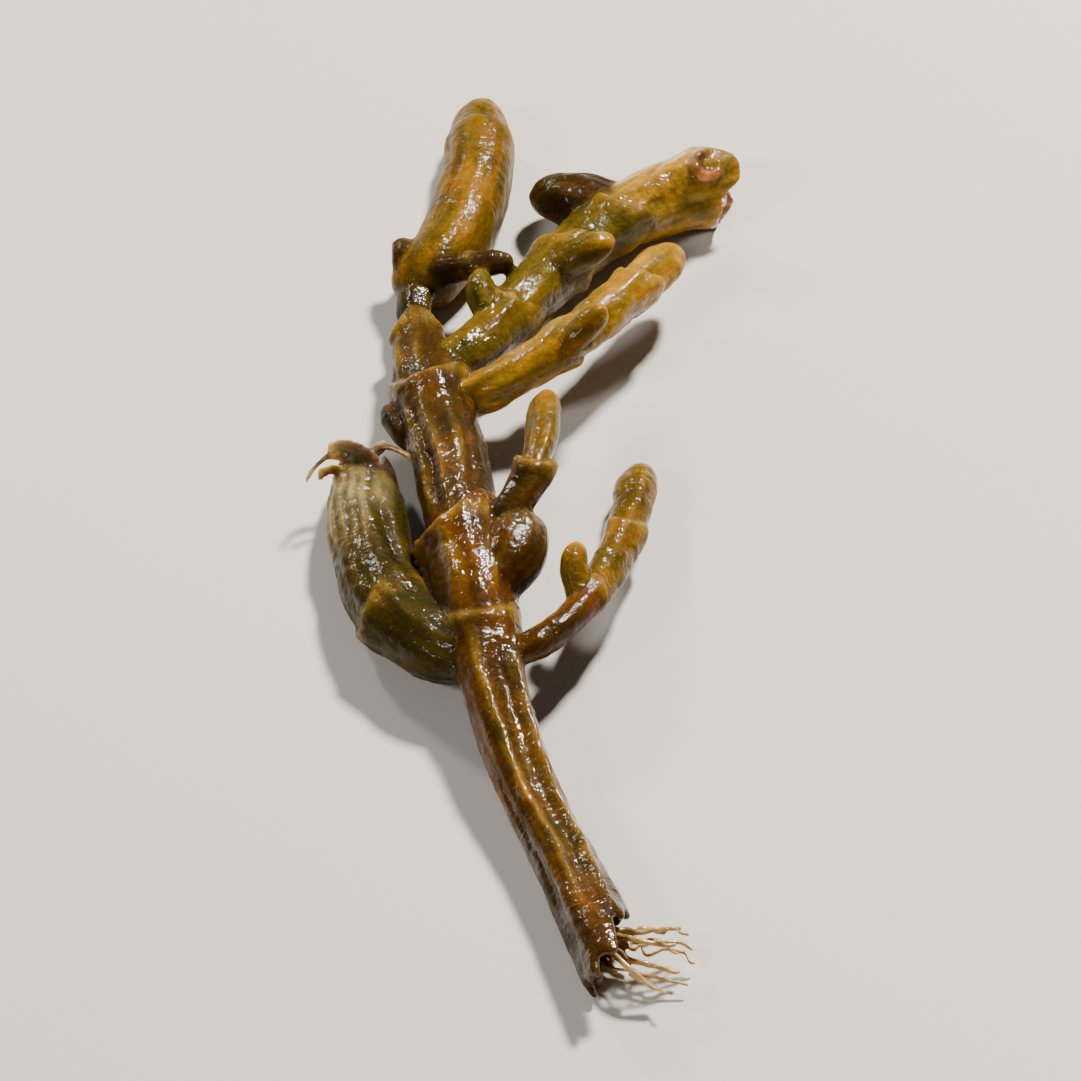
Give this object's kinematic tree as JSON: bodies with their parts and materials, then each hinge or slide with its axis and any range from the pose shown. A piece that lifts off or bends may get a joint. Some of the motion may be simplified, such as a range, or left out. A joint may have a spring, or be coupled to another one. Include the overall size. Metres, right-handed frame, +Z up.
{
  "type": "samphire sprig",
  "caption": "Branched sprig of cooked samphire lying flat: fleshy jointed shoots with lobed collars and blunt tips, and pale fibres hanging from its torn lower end.",
  "frame": {"origin": "middle of the sprig's outline on the surface that it lies on", "axes": "+Z up from that surface, +Y from the torn end towards the tips, +X to the right as the picture shows it"},
  "size_m": [0.0234, 0.0732, 0.0072],
  "materials": {
    "flesh": "gloss",
    "core": "satin"
  },
  "bodies": {
    "root": {"sprig": "flesh", "core_fibres": "core"}
  },
  "joints": []
}
